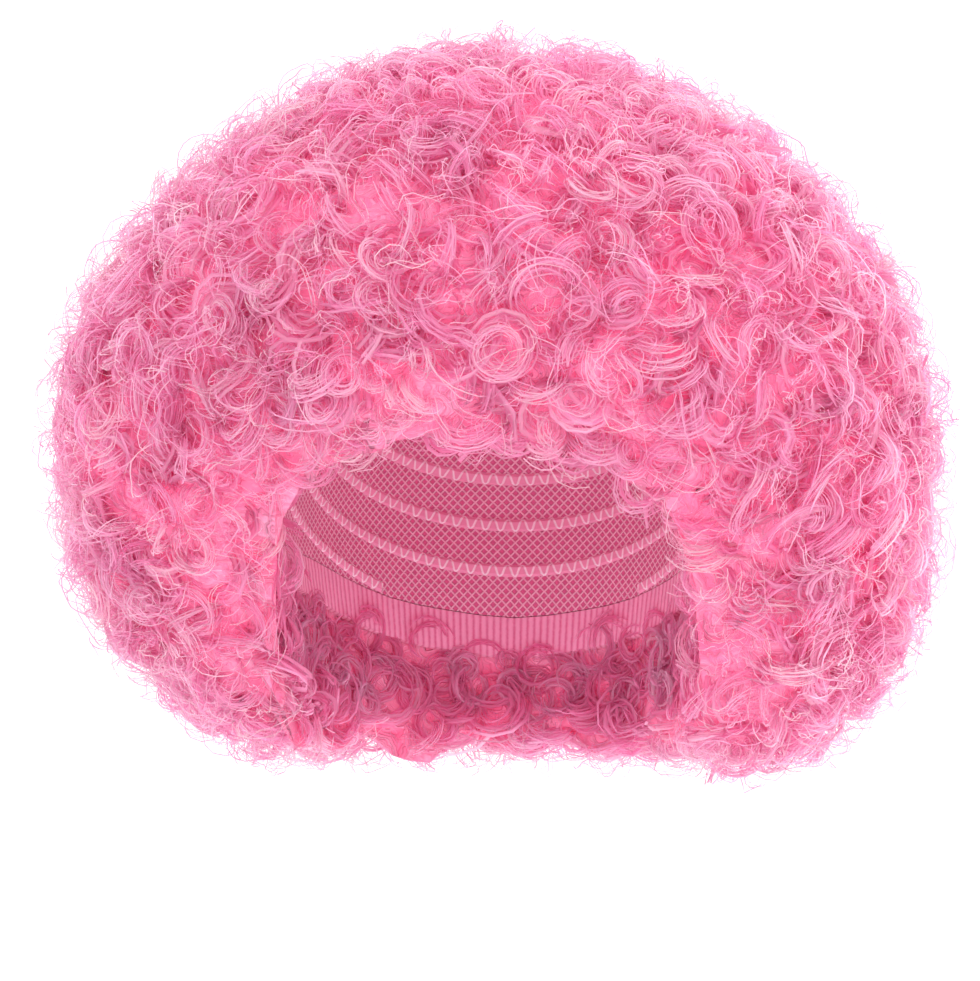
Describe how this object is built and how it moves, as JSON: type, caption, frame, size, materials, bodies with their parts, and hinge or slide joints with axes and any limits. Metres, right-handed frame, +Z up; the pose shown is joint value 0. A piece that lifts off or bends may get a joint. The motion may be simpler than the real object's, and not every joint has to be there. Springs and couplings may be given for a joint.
{
  "type": "curly clown wig",
  "caption": "Short, full, curly pink clown wig on a stretch cap with an elastic edge, open below and in front for the wearer's head and face.",
  "frame": {"origin": "the top of the wearer's head, on the inside of the cap", "axes": "+Z is up, the wearer faces along -Y, and +X is towards the wearer's left"},
  "size_m": [0.3181, 0.2963, 0.2687],
  "materials": {
    "hair_fibre": "glossy curled synthetic hair fibre, candyfloss pink",
    "cap_net": "matt knitted stretch net, pink",
    "elastic": "matt woven elastic tape, pink"
  },
  "bodies": {
    "root": {"cap": "cap_net", "elastic_edge": "elastic", "whorl_weft": "hair_fibre", "crown_weft": "hair_fibre", "upper_weft": "hair_fibre", "lower_weft": "hair_fibre", "hairline_weft": "hair_fibre"}
  },
  "joints": []
}
